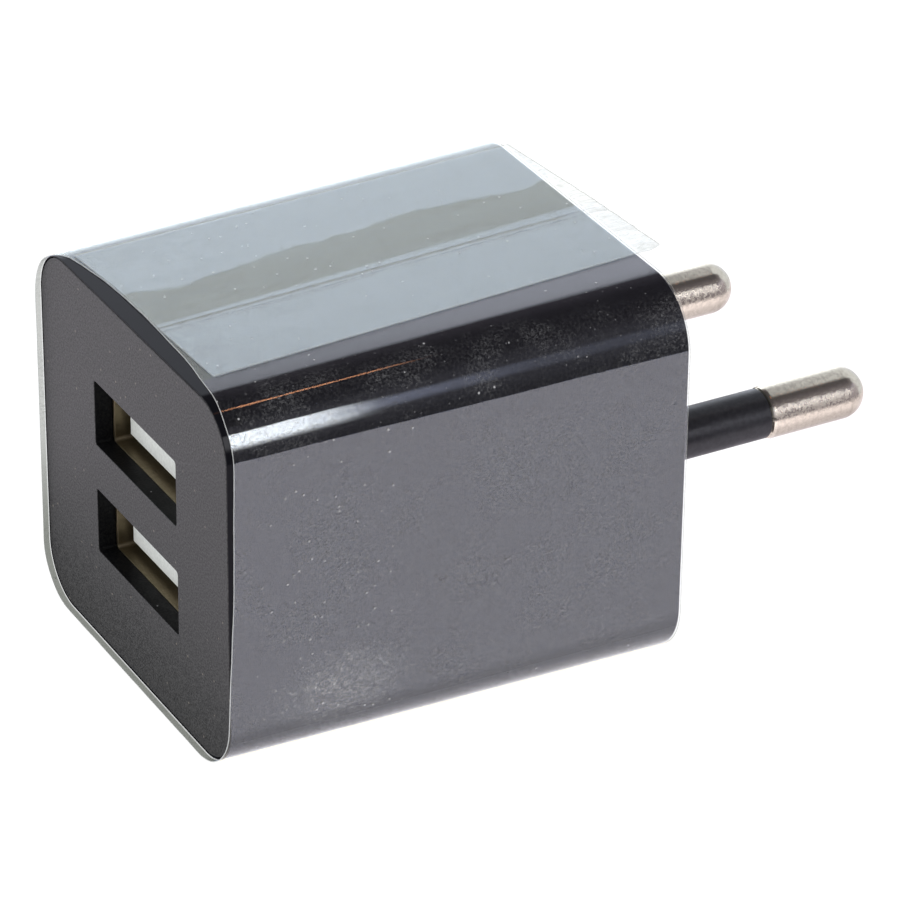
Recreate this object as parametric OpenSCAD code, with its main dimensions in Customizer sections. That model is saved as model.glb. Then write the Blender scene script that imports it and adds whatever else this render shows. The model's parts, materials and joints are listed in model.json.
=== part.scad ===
// Two-port USB wall charger with a pair of round mains pins.
// Millimetres. +Z up, front face towards -Y, pins towards +Y, +X to the right of the front.
// The origin is the middle of the rear face, between the pins.

/* [Body] */
// Length from the front face to the rear face
body_len = 36; // [35.5:0.5:36.5]
// Width at the rear face
body_w = 31.6; // [31.2:0.2:32.4]
// Height at the rear face
body_h = 30.4; // [30.2:0.2:31]
// Radius of the long edges at the rear face
corner_r = 4.75; // [4.6:0.05:4.9]
// How much each side draws in towards the front face
side_draft = 0.75; // [0.6:0.05:0.8]
// Thickness of the housing wall at the front
wall = 1.6; // [1.5:0.1:1.8]
// Thickness of the front panel
panel_t = 1.4; // [1.3:0.1:1.4]
// Thickness of the rear plate
plate_t = 2.0; // [1.8:0.1:2]

/* [Mains pins] */
// Distance between the pin axes
pin_pitch = 18.6; // [18:0.1:19.2]
// Diameter of the bare metal of a pin
pin_d = 4.0; // [3.9:0.05:4]
// Length of a pin in front of the rear face
pin_len = 19; // [18.5:0.5:19.5]
// Length of the insulating sleeve
sleeve_len = 10.3; // [10:0.1:11]
// Diameter of the insulating sleeve
sleeve_d = 3.76; // [3.7:0.02:3.8]

/* [USB ports] */
// Distance between the centres of the two ports
port_pitch = 8.9; // [8.8:0.1:9.4]
// Sideways place of the ports
port_x = 0.3; // [0:0.1:0.4]
// Width of an opening in the front panel
mouth_w = 13.2; // [13.1:0.1:13.4]
// Height of an opening in the front panel
mouth_h = 5.2; // [5.15:0.05:5.3]
// Width inside the metal shell
shell_w = 12.5; // [12.5:0.05:12.6]
// Height inside the metal shell
shell_h = 5.12; // [5.1:0.02:5.2]
// Length of the metal shell
shell_len = 14; // [13.8:0.1:14]

/* [Film] */
// Thickness of one layer of the protective film
film_t = 0.1; // [0.08:0.01:0.12]
// How far the film's rear tab stands out behind the rear face
film_tab = 2.2; // [1.5:0.1:2.4]

/* [Hidden] */
$fn = 48;

// Small gap between pieces that slide into each other
gap = 0.05;
// Small overshoot that makes a cut pass right through
over = 0.5;
// Small overlap that joins two solids of one piece
weld = 0.1;
// Both sides of the object
sides = [-1, 1];

// Straight half lengths between the rounded long edges
core_x = body_w / 2 - corner_r;
core_z = body_h / 2 - corner_r;
front_r = corner_r - side_draft;
cavity_r = front_r - wall;
cavity_x = core_x + cavity_r;
cavity_z = core_z + cavity_r;

// Lip of the housing round the front panel and the rear plate
front_lip = 0.1;
rear_lip = 0.6;
panel_r = front_r - front_lip - gap;
plate_r = corner_r - rear_lip - gap;

// Corner ribs that the main board rests on, and how far they sink into the wall
rib_size = 1.55;
rib_root = 0.2;
rib_x = cavity_x - rib_size;
rib_z = cavity_z - rib_size;

// Film: gap to the housing, where its stock begins, and place and slant of its cut front edge
film_slack = 0.03;
film_start = -body_len - 1;
film_front = -body_len + 0.1;
film_slant = [-2.1, 0, 0.8];
film_reach = 30;
overlap_cut_front = -body_len + 1.6;
// Second layer on the top: its front edge, its right edge and its rear tab
overlap_left_front = -body_len + 1.1;
overlap_right_front = -body_len + 1.8;
overlap_front_x = 9.5;
overlap_rear_x = 8.4;
tab_left_x = 0.2;
tab_slant = 0.6;
tab_left_root = 0.3;

// Pins
pin_core_r = 1.5;
pin_collar_r = 2.5;
pin_collar_t = 1.4;
pin_spigot_r = 1.0;
pin_spigot_len = 0.8;
solder_r = 1.6;
solder_t = 0.6;
boss_r = 3.6;
boss_len = 0.8;
post_r = 0.9;
post_inset = 0.4;
sleeve_seat = 0.8;
pin_root = -plate_t - boss_len;

// USB port: metal shell with its spring fingers
mouth_r = 0.25;
shell_t = 0.3;
shell_front = -body_len + panel_t;
shell_rear = shell_front + shell_len;
shell_outer_r = 0.6;
shell_inner_r = 0.3;
finger_xs = [-3.2, 3.2];
finger_w = 1.6;
finger_t = 0.23;
finger_depth = 0.35;
finger_tip = shell_front + 2.6;
finger_crest = finger_tip + 1.4;
finger_root = shell_front + 8.4;
finger_taper = 0.6;
window_w = 2.4;
window_front = shell_front + 2.2;
window_rear = shell_front + 8;
shell_leg_zs = [-1.5, 1.5];
shell_leg_x = shell_w / 2 + shell_t / 2;
shell_leg_w = 1.2;

// USB port: insulator
tongue_w = 11.1;
tongue_t = 1.84;
tongue_front = shell_front + 0.9;
base_len = 2.6;
base_gap = 0.1;
base_front = shell_rear - base_len;

// USB port: contacts, as leaves that lie in grooves and bulge up near the front
contact_xs = [-3.5, -1.0, 1.0, 3.5];
contact_w = 1.0;
contact_t = 0.2;
contact_sink = 0.15;
contact_bulge = 0.45;
contact_tip = 0.1;
contact_front = tongue_front + 0.9;
contact_pivot = base_front + 0.4;
bulge_front = contact_front + 0.8;
bulge_rear = contact_front + 1.6;
bulge_foot = contact_front + 2.7;
groove_w = contact_w + 0.3;
groove_depth = 0.95;
groove_top = 0.9;
groove_lead = 0.4;
tail_gap = 0.15;
tail_h = 0.95;
tail_pin_half = 0.25;
tail_pin_low = 0.2;
tail_pin_high = 0.5;

// Boards
board_t = 1.2;
board_slack = 0.35;
board_rear = -plate_t - 2.4;
board_front = board_rear - board_t;
board_half_w = cavity_x - board_slack;
board_half_h = cavity_z - board_slack;
usb_board_rear = shell_rear + board_t;
usb_board_x = rib_x - 0.2;
usb_board_z = rib_z + 1.2;
usb_board_ear = 1.2;
usb_board_notch = 0.3;
shell_leg_slot = [0.3, 0.75];
shell_leg_tip = usb_board_rear + 0.4;
tail_tip = usb_board_rear + 0.5;
tail_hole_r = 0.45;
tail_hole_z = -groove_depth + 0.35;
lead_r = 0.25;
lead_gap = 0.1;
lead_tip = board_rear + 0.5;

// Parts on the back of the small board
charge_chip_low = [-10.4, -1.4];
charge_chip_high = [-7.6, 1.4];
charge_chip_t = 0.9;
small_part_count = 5;
small_part_pitch = 2.4;
small_part_x = -6;
small_part = [1.1, 0.6, 1.6];

// Link between the boards
link_count = 5;
link_pitch = 2.54;
link_x = 5.0;
link_z = 10.8;
link_pin = 0.64;
link_hole_r = 0.5;
link_stand_out = 0.8;
link_spacer_len = 2.5;
link_spacer_z = 1.2;

// Insulation sheet, with a notch for the link
sheet_t = 0.2;
sheet_y = usb_board_rear + 1.1;
sheet_x = rib_x - 0.3;
sheet_z = rib_z + 0.9;
sheet_notch = [7.2, 1.6];

// Transformer: core, bobbin and coil
trafo_x = 4.4;
trafo_z = 2.0;
trafo_y = board_front - 6.6;
core_gap = 0.02;
core_half = 6.1;
core_height = 13;
core_depth = 6;
core_leg = 2.8;
core_back = 1.6;
core_side = 1.6;
coil_half = 4.0;
coil_h = 9.2;
coil_d = 10.4;
winding_half = [3.72, 2.12];
tape_t = 0.28;
tape_gap = 0.02;
tube_half = [4.4, 3.7, 2.1];
flange_x = 4.3;
flange_half = [0.2, 5.3, 4.75];
foot_low = [4.1, 3.2, -4.2];
foot_high = [6.4, 5.3, 4.2];
trafo_pin_pitch = 2.0;
trafo_pin_side = 5.4;
trafo_pin_root = 4;

// Cans: [x, z] of each
mains_caps = [[-8.4, 7.7], [-8.4, -7.7]];
mains_cap_r = 3.9;
mains_cap_len = 10.8;
output_caps = [[9.0, -8.6], [2.2, -8.6]];
output_cap_r = 3.1;
output_cap_len = 11;
cap_lead = 1.25;
cap_foot = board_front - 0.3;
cap_sleeve_t = 0.1;
cap_sleeve_end = 0.1;
cap_sleeve_short = 0.2;

// Disc capacitor between the mains side and the output side
safety_cap = [-2.7, -8.4];
safety_lead = 2.0;
disc_r = 3;
disc_t = 2.4;
disc_y = board_front - 4.6;

// Parts that stand on one lead, with the other lead bent over beside them
resistor = [-5.6, 0.9];
resistor_lead = 1.9;
resistor_r = 1.1;
choke = [-2.9, 10.2];
choke_lead = 2.6;
choke_r = 1.25;
upright_len = 6.5;
upright_foot = board_front - 1.0;
lead_bend = 0.9;

// Chips on the rear of the main board: [x, z] and [width, thickness, height]
bridge = [-5.4, -4.2];
bridge_size = [4.7, 1.4, 3.9];
switch_chip = [-5.4, 4.4];
switch_size = [4.9, 1.4, 3.9];
coupler = [1.4, 6.2];
coupler_size = [2.6, 1.9, 4.4];
diode = [5.2, -5.0];
diode_size = [2.6, 1.9, 4.2];
wide_leg_pitch = 2.5;
fine_leg_pitch = 1.27;
chip_lift = 0.1;
leg_half_w = 0.2;
leg_t = 0.6;
leg_reach = 0.3;
leg_half = 0.4;
chip_row_count = 6;
chip_row_pitch = 1.7;
chip_row_low = [-0.4, -7];
chip_row_part = [1.6, 0.5, 0.8];

// Every lead hole in the main board, as [x, z]
trafo_pins = [for (side = sides, i = [0, 1, 2])
    [trafo_x + side * trafo_pin_side, trafo_z + i * trafo_pin_pitch]];
link_pin_places = [for (i = [0 : link_count - 1])
    [link_x + (i - (link_count - 1) / 2) * link_pitch, link_z]];
lead_places = concat(
    [for (c = mains_caps, s = sides) [c.x, c.y + s * cap_lead]],
    [for (c = output_caps, s = sides) [c.x + s * cap_lead, c.y]],
    [for (s = sides) [safety_cap.x, safety_cap.y + s * safety_lead]],
    [resistor, [resistor.x, resistor.y - resistor_lead]],
    [choke, [choke.x, choke.y - choke_lead]],
    trafo_pins
);

// Colours
black_gloss = [0.05, 0.05, 0.06];
black_matt = [0.08, 0.08, 0.08];
charcoal = [0.32, 0.32, 0.33];
film_clear = [0.8, 0.85, 0.85, 0.35];
nickel = [0.8, 0.78, 0.72];
tin = [0.75, 0.76, 0.78];
bronze = [0.55, 0.48, 0.38];
white = [0.9, 0.92, 0.9];
gold = [0.85, 0.7, 0.35];
board_green = [0.1, 0.35, 0.2];
paper = [0.85, 0.8, 0.6];
ceramic = [0.7, 0.6, 0.45];
ferrite = [0.25, 0.25, 0.27];
copper = [0.75, 0.4, 0.2];
tape_yellow = [0.9, 0.8, 0.3];
sleeve_blue = [0.1, 0.2, 0.4];
sleeve_green = [0.1, 0.3, 0.2];
disc_blue = [0.15, 0.35, 0.75];
choke_green = [0.2, 0.45, 0.3];
resistor_teal = [0.3, 0.6, 0.55];

// ---------- shared shapes ----------

// Radius of the housing's long edges at a place along Y
function edge_r(y) = corner_r + side_draft * y / body_len;

// A round bar along Y from y0 to y1
module bar_y(x, z, r, y0, y1) {
    translate([x, y0, z]) rotate([-90, 0, 0]) cylinder(h = y1 - y0, r = r);
}

// A box given by its lowest and highest corners
module span(low, high) {
    translate(low) cube(high - low);
}

// A box given by its half sizes, about the origin
module block(half) {
    span(-half, half);
}

// Its child, flipped to the other side where the side is -1
module flip_x(side) {
    mirror([side < 0 ? 1 : 0, 0, 0]) children();
}
module flip_z(side) {
    mirror([0, 0, side < 0 ? 1 : 0]) children();
}

// A rectangular prism with rounded long edges, along Y
module rounded_prism(half_x, half_z, r, y0, y1) {
    translate([0, y1, 0]) rotate([90, 0, 0]) linear_extrude(y1 - y0) union() {
        square([2 * (half_x - r), 2 * half_z], center = true);
        square([2 * half_x, 2 * (half_z - r)], center = true);
        for (sx = sides, sz = sides)
            translate([sx * (half_x - r), sz * (half_z - r)]) circle(r);
    }
}

// A prism that keeps a gap to the housing's own section, with long edges of radius r
module cased_prism(r, y0, y1) {
    rounded_prism(core_x + r, core_z + r, r, y0, y1);
}

// The drafted outer form of the housing, grown or shrunk, between two places along Y
module drafted_form(grow, y0, y1) {
    hull() for (sx = sides, sz = sides)
        translate([sx * core_x, y0, sz * core_z]) rotate([-90, 0, 0])
            cylinder(h = y1 - y0, r1 = edge_r(y0) + grow, r2 = edge_r(y1) + grow);
}

// A profile drawn as [y, z] points, given a width along X
module side_profile(x, width, points) {
    translate([x + width / 2, 0, 0]) rotate([90, 0, -90]) mirror([1, 0, 0])
        linear_extrude(width) polygon(points);
}

// A chip with legs on both long sides, lying on the rear of the main board
module board_chip(place, size, legs, leg_pitch) {
    base = board_rear + chip_lift;
    span([place.x - size.x / 2, base, place.y - size.z / 2],
         [place.x + size.x / 2, base + size.y, place.y + size.z / 2]);
    for (side = sides, i = [0 : legs - 1]) {
        leg_x = place.x + (i - (legs - 1) / 2) * leg_pitch;
        leg_z = place.y + side * (size.z / 2 + leg_reach);
        span([leg_x - leg_half_w, board_rear, leg_z - leg_half],
             [leg_x + leg_half_w, board_rear + leg_t, leg_z + leg_half]);
    }
}

// Its child, moved to the centre of the upper or the lower port
module at_port(side) {
    translate([port_x, 0, side * port_pitch / 2]) children();
}

// ---------- casing ----------

module housing() {
    color(black_gloss) union() {
        difference() {
            drafted_form(0, -body_len, 0);
            cased_prism(cavity_r, -body_len - over, over);
            cased_prism(panel_r + gap, -body_len - over, shell_front);
            cased_prism(plate_r + gap, -plate_t, over);
        }
        for (sx = sides, sz = sides) flip_x(sx) flip_z(sz)
            span([rib_x, shell_front, rib_z],
                 [cavity_x + rib_root, board_front, cavity_z + rib_root]);
    }
}

module front_panel() {
    color(charcoal) difference() {
        cased_prism(panel_r, -body_len, shell_front);
        for (side = sides) at_port(side)
            rounded_prism(mouth_w / 2, mouth_h / 2, mouth_r, -body_len - over, shell_front + over);
    }
}

// Rear plate, with a boss for each pin and a post for each corner of the main board
module rear_plate() {
    color(black_matt) difference() {
        union() {
            cased_prism(plate_r, -plate_t, 0);
            for (s = sides) bar_y(s * pin_pitch / 2, 0, boss_r, pin_root, -plate_t + weld);
            for (sx = sides, sz = sides)
                bar_y(sx * (rib_x - post_inset), sz * (rib_z - post_inset), post_r,
                      board_rear, -plate_t + weld);
        }
        for (s = sides) {
            bar_y(s * pin_pitch / 2, 0, pin_core_r, -body_len, over);
            bar_y(s * pin_pitch / 2, 0, sleeve_d / 2, -sleeve_seat, over);
            bar_y(s * pin_pitch / 2, 0, pin_collar_r, pin_root - over, pin_root + pin_collar_t);
        }
    }
}

// The film's wrap round the housing, a little askew at the front
module film_wrap() {
    start = film_start;
    intersection() {
        difference() {
            drafted_form(film_slack + film_t, start, 0);
            drafted_form(film_slack, start - over, over);
        }
        translate([0, film_front, 0]) rotate(film_slant)
            span([-film_reach, 0, -film_reach], [film_reach, 2 * film_reach, film_reach]);
    }
}

// The film's second layer, on the top only, which runs out into the rear tab
module film_overlap() {
    front = overlap_cut_front;
    front_z = core_z + edge_r(front) + film_slack + film_t;
    rear_z = core_z + edge_r(0) + film_slack + film_t;
    intersection() {
        side_profile(0, 2 * film_reach, [
            [front, front_z - film_t / 2], [film_tab, rear_z - film_t / 2],
            [film_tab, rear_z + film_t], [front, front_z + film_t]
        ]);
        linear_extrude(film_reach) polygon([
            [-core_x, overlap_left_front], [overlap_front_x, overlap_right_front],
            [overlap_rear_x, 0], [overlap_rear_x - tab_slant, film_tab],
            [tab_left_x, film_tab - tab_slant], [-core_x, tab_left_root]
        ]);
    }
}

module protective_film() {
    color(film_clear) union() {
        film_wrap();
        film_overlap();
    }
}

// ---------- mains pins ----------

module pin(side) {
    x = side * pin_pitch / 2;
    tip_r = pin_d / 2;
    color(nickel) union() {
        bar_y(x, 0, pin_spigot_r, board_front - pin_spigot_len, pin_root + weld);
        bar_y(x, 0, pin_collar_r, pin_root, pin_root + pin_collar_t);
        bar_y(x, 0, pin_core_r, pin_root, sleeve_len + weld);
        bar_y(x, 0, tip_r, sleeve_len, pin_len - tip_r);
        translate([x, pin_len - tip_r, 0]) sphere(tip_r);
    }
}

module pin_sleeve(side) {
    x = side * pin_pitch / 2;
    color(black_matt) difference() {
        bar_y(x, 0, sleeve_d / 2, -sleeve_seat, sleeve_len);
        bar_y(x, 0, pin_core_r, -sleeve_seat - over, sleeve_len + over);
    }
}

// Solder collar round the end of each pin, on the front of the main board
module pin_solder() {
    color(tin) for (s = sides) difference() {
        bar_y(s * pin_pitch / 2, 0, solder_r, board_front - solder_t, board_front);
        bar_y(s * pin_pitch / 2, 0, pin_spigot_r, board_front - solder_t - over, board_front + over);
    }
}

// ---------- USB ports ----------

// A spring finger that stands into the shell, pointing to the mouth
module finger(x, side) {
    inner = shell_h / 2;
    flip_z(side) side_profile(x, finger_w, [
        [finger_root, inner], [finger_crest, inner - finger_depth],
        [finger_tip, inner - gap], [finger_tip, inner + finger_t - gap],
        [finger_crest, inner - finger_depth + finger_t],
        [finger_root - finger_taper, inner + shell_t], [finger_root, inner + shell_t]
    ]);
}

// Plated shell, with spring fingers above and below and legs that pass through the small board
module port_shell(side) {
    color(bronze) at_port(side) union() {
        difference() {
            rounded_prism(shell_w / 2 + shell_t, shell_h / 2 + shell_t, shell_outer_r,
                          shell_front, shell_rear);
            rounded_prism(shell_w / 2, shell_h / 2, shell_inner_r,
                          shell_front - over, shell_rear + over);
            for (x = finger_xs)
                span([x - window_w / 2, window_front, -shell_h],
                     [x + window_w / 2, window_rear, shell_h]);
        }
        for (x = finger_xs, s = sides) finger(x, s);
        for (s = sides, z = shell_leg_zs)
            span([s * shell_leg_x - shell_t / 2, shell_rear - 2 * weld, z - shell_leg_w / 2],
                 [s * shell_leg_x + shell_t / 2, shell_leg_tip, z + shell_leg_w / 2]);
    }
}

// White insulator: a block at the back and a tongue with a groove for each contact
module port_insulator(side) {
    base_x = shell_w / 2 - base_gap;
    base_z = shell_h / 2 - base_gap;
    color(white) at_port(side) difference() {
        union() {
            span([-base_x, base_front, -base_z], [base_x, shell_rear, base_z]);
            span([-tongue_w / 2, tongue_front, -tongue_t], [tongue_w / 2, base_front + weld, 0]);
        }
        for (x = contact_xs)
            span([x - groove_w / 2, contact_front - groove_lead, -groove_depth],
                 [x + groove_w / 2, shell_rear + over, groove_top]);
    }
}

// Four spring leaves that a plug presses down into their grooves
module port_contacts(side) {
    bend = contact_t / 2;
    low = -contact_sink;
    color(gold) at_port(side) for (x = contact_xs)
        side_profile(x, contact_w, [
            [contact_pivot, low], [bulge_foot - bend, low],
            [bulge_rear - bend, contact_bulge - contact_t],
            [bulge_front + bend, contact_bulge - contact_t],
            [contact_front, -contact_tip], [contact_front, contact_tip],
            [bulge_front, contact_bulge], [bulge_rear, contact_bulge],
            [bulge_foot, low + contact_t], [contact_pivot, low + contact_t]
        ]);
}

// The fixed end of each contact, with a pin that passes through the small board
module port_tails(side) {
    floor_z = -groove_depth;
    color(gold) at_port(side) for (x = contact_xs) {
        span([x - groove_w / 2, contact_pivot + tail_gap, floor_z],
             [x + groove_w / 2, shell_rear, floor_z + tail_h]);
        span([x - tail_pin_half, shell_rear - weld, floor_z + tail_pin_low],
             [x + tail_pin_half, tail_tip, floor_z + tail_pin_high]);
    }
}

// ---------- small board behind the ports ----------

module usb_board() {
    front = shell_rear - over;
    rear = usb_board_rear + over;
    ear_x = usb_board_x + usb_board_ear;
    ear_z = rib_z - usb_board_notch;
    color(board_green) difference() {
        union() {
            span([-usb_board_x, shell_rear, -usb_board_z], [usb_board_x, usb_board_rear, usb_board_z]);
            span([-ear_x, shell_rear, -ear_z], [ear_x, usb_board_rear, ear_z]);
        }
        for (side = sides) at_port(side) {
            for (s = sides, z = shell_leg_zs)
                span([s * shell_leg_x - shell_leg_slot.x, front, z - shell_leg_slot.y],
                     [s * shell_leg_x + shell_leg_slot.x, rear, z + shell_leg_slot.y]);
            for (x = contact_xs) bar_y(x, tail_hole_z, tail_hole_r, front, rear);
        }
        for (p = link_pin_places) bar_y(p.x, p.y, link_hole_r, front, rear);
    }
}

module charge_port_chip() {
    color(black_matt) span([charge_chip_low.x, usb_board_rear, charge_chip_low.y],
                           [charge_chip_high.x, usb_board_rear + charge_chip_t, charge_chip_high.y]);
}

// Row of chip resistors and capacitors on the back of the small board
module usb_board_parts() {
    color(ceramic) for (i = [0 : small_part_count - 1])
        translate([small_part_x + i * small_part_pitch, usb_board_rear, -small_part.z / 2])
            cube(small_part);
}

// A square bar at each place of the link, along Y
module link_bars(y0, y1) {
    half = link_pin / 2;
    for (p = link_pin_places)
        span([p.x - half, y0, p.y - half], [p.x + half, y1, p.y + half]);
}

module link_pins() {
    color(gold) link_bars(shell_rear - link_stand_out, lead_tip);
}

module link_spacer() {
    half = link_count * link_pitch / 2;
    rear = usb_board_rear + link_spacer_len;
    color(black_matt) difference() {
        span([link_x - half, usb_board_rear, link_z - link_spacer_z],
             [link_x + half, rear, link_z + link_spacer_z]);
        link_bars(usb_board_rear - over, rear + over);
    }
}

module insulation_sheet() {
    color(paper) difference() {
        span([-sheet_x, sheet_y, -sheet_z], [sheet_x, sheet_y + sheet_t, sheet_z]);
        span([link_x - sheet_notch.x, sheet_y - over, link_z - sheet_notch.y],
             [rib_x + over, sheet_y + over, sheet_z + over]);
    }
}

// ---------- main board and its parts ----------

module main_board() {
    front = board_front - over;
    rear = board_rear + over;
    color(board_green) difference() {
        rounded_prism(board_half_w, board_half_h, cavity_r, board_front, board_rear);
        for (s = sides) bar_y(s * pin_pitch / 2, 0, pin_spigot_r + lead_gap, front, rear);
        for (p = lead_places) bar_y(p.x, p.y, lead_r + lead_gap, front, rear);
        for (p = link_pin_places) bar_y(p.x, p.y, link_hole_r, front, rear);
    }
}

module at_transformer() {
    translate([trafo_x, trafo_y, trafo_z]) children();
}

// One E-shaped half of the ferrite core
module core_e(side) {
    color(ferrite) at_transformer() flip_x(side) difference() {
        span([core_gap, -core_depth / 2, -core_height / 2],
             [core_half, core_depth / 2, core_height / 2]);
        for (s = sides) flip_z(s)
            span([-over, -core_depth, core_leg / 2],
                 [core_half - core_back, core_depth, core_height / 2 - core_side]);
    }
}

// Bobbin: a tube round the core's middle leg, two flanges, and a foot with three pins on each side
module transformer_bobbin() {
    color(black_matt) at_transformer() difference() {
        union() {
            block(tube_half);
            for (s = sides) translate([s * flange_x, 0, 0]) block(flange_half);
            for (s = sides) flip_x(s) span(foot_low, foot_high);
        }
        block([2 * core_half, core_depth / 2 + gap, core_leg / 2 + gap]);
        for (p = trafo_pins)
            bar_y(p.x - trafo_x, p.y - trafo_z, lead_r, trafo_pin_root, foot_high.y + over);
    }
}

// Hollow block round the bobbin, between an inner and an outer section
module coil_layer(inner_y, inner_z, outer_y, outer_z) {
    at_transformer() difference() {
        block([coil_half, outer_y, outer_z]);
        block([coil_half + over, inner_y, inner_z]);
    }
}

module transformer_winding() {
    outer_y = coil_d / 2 - tape_t - tape_gap;
    outer_z = coil_h / 2 - tape_t - tape_gap;
    color(copper) coil_layer(winding_half.x, winding_half.y, outer_y, outer_z);
}

module transformer_tape() {
    color(tape_yellow) coil_layer(coil_d / 2 - tape_t, coil_h / 2 - tape_t, coil_d / 2, coil_h / 2);
}

module transformer_pins() {
    color(tin) for (p = trafo_pins) bar_y(p.x, p.y, lead_r, trafo_y + trafo_pin_root, lead_tip);
}

// Round cans that stand on the main board, with two leads each
module cans(places, r, length, leads) {
    for (c = places) union() {
        bar_y(c.x, c.y, r, cap_foot - length, cap_foot);
        for (s = sides)
            bar_y(c.x + s * leads.x, c.y + s * leads.y, lead_r, cap_foot - weld, lead_tip);
    }
}

module can_sleeves(places, r, length) {
    rear = cap_foot - cap_sleeve_end;
    for (c = places) difference() {
        bar_y(c.x, c.y, r + cap_sleeve_t, cap_foot - length + cap_sleeve_short, rear);
        bar_y(c.x, c.y, r, rear - length - over, rear + over);
    }
}

module mains_capacitors() {
    color(tin) cans(mains_caps, mains_cap_r, mains_cap_len, [0, cap_lead]);
}

module mains_capacitor_sleeves() {
    color(sleeve_blue) can_sleeves(mains_caps, mains_cap_r, mains_cap_len);
}

module output_capacitors() {
    color(tin) cans(output_caps, output_cap_r, output_cap_len, [cap_lead, 0]);
}

module output_capacitor_sleeves() {
    color(sleeve_green) can_sleeves(output_caps, output_cap_r, output_cap_len);
}

module safety_capacitor() {
    color(disc_blue) union() {
        translate([safety_cap.x, disc_y, safety_cap.y]) rotate([0, 90, 0])
            cylinder(h = disc_t, r = disc_r, center = true);
        for (s = sides)
            bar_y(safety_cap.x, safety_cap.y + s * safety_lead, lead_r, disc_y + over, lead_tip);
    }
}

// A body that stands on one lead, with the other lead bent over beside it
module upright_part(place, r, lead_side) {
    top = upright_foot - upright_len;
    bend = top - lead_bend;
    union() {
        bar_y(place.x, place.y, r, top, upright_foot);
        bar_y(place.x, place.y, lead_r, bend + weld, lead_tip);
        bar_y(place.x, place.y - lead_side, lead_r, bend + weld, lead_tip);
        span([place.x - lead_r, bend, place.y - lead_side],
             [place.x + lead_r, bend + 2 * lead_r, place.y]);
    }
}

module filter_choke() {
    color(choke_green) upright_part(choke, choke_r, choke_lead);
}

module fusible_resistor() {
    color(resistor_teal) upright_part(resistor, resistor_r, resistor_lead);
}

module bridge_rectifier() {
    color(black_matt) board_chip(bridge, bridge_size, 2, wide_leg_pitch);
}

module power_switch_chip() {
    color(black_matt) board_chip(switch_chip, switch_size, 4, fine_leg_pitch);
}

module optocoupler() {
    color(white) board_chip(coupler, coupler_size, 2, fine_leg_pitch);
}

module output_diode() {
    color(black_matt) board_chip(diode, diode_size, 1, wide_leg_pitch);
}

// Row of chip resistors on the rear of the main board
module main_board_parts() {
    color(black_matt) for (i = [0 : chip_row_count - 1])
        translate([chip_row_low.x, board_rear, chip_row_low.y + i * chip_row_pitch])
            cube(chip_row_part);
}

housing();
front_panel();
rear_plate();
protective_film();
pin(-1);  // left_pin
pin(1);  // right_pin
pin_sleeve(-1);  // left_pin_sleeve
pin_sleeve(1);  // right_pin_sleeve
pin_solder();
port_shell(1);  // upper_port_shell
port_shell(-1);  // lower_port_shell
port_insulator(1);  // upper_port_insulator
port_insulator(-1);  // lower_port_insulator
port_contacts(1);  // upper_port_contacts
port_contacts(-1);  // lower_port_contacts
port_tails(1);  // upper_port_tails
port_tails(-1);  // lower_port_tails
usb_board();
charge_port_chip();
usb_board_parts();
link_pins();
link_spacer();
insulation_sheet();
main_board();
core_e(-1);  // transformer_core_left
core_e(1);  // transformer_core_right
transformer_bobbin();
transformer_winding();
transformer_tape();
transformer_pins();
mains_capacitors();
mains_capacitor_sleeves();
output_capacitors();
output_capacitor_sleeves();
safety_capacitor();
filter_choke();
fusible_resistor();
bridge_rectifier();
power_switch_chip();
optocoupler();
output_diode();
main_board_parts();
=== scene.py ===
# Looks of a two-port USB wall charger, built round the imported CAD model.
# Metres, in the CAD frame: rear face at y = 0, pins along +Y, front panel towards -Y, +Z up.
import json
import math

import bmesh
import bpy
from mathutils import Matrix, Vector, noise


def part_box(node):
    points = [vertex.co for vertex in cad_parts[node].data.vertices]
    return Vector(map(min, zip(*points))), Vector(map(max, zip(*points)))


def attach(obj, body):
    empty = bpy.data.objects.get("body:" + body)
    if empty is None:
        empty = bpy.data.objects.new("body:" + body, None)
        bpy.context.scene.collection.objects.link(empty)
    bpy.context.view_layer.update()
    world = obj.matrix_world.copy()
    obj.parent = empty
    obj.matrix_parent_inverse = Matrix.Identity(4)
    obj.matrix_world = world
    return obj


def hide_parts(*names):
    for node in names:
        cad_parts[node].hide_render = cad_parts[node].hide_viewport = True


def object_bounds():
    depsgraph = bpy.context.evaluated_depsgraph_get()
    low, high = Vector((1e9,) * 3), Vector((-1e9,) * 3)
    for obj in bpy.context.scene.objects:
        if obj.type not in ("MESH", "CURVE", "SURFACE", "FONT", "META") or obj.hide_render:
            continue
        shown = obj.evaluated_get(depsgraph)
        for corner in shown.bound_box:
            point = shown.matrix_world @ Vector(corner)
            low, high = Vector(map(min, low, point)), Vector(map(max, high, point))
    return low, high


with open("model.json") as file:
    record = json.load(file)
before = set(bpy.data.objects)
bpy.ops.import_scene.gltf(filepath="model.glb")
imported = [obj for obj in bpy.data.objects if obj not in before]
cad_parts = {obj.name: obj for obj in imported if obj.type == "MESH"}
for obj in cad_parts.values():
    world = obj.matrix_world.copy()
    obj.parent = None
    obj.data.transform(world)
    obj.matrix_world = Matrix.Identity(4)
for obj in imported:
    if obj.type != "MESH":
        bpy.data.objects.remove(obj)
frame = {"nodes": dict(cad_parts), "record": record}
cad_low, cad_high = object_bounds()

MM = 0.001

# ---------- driving dimensions, shared with the CAD model ----------

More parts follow.
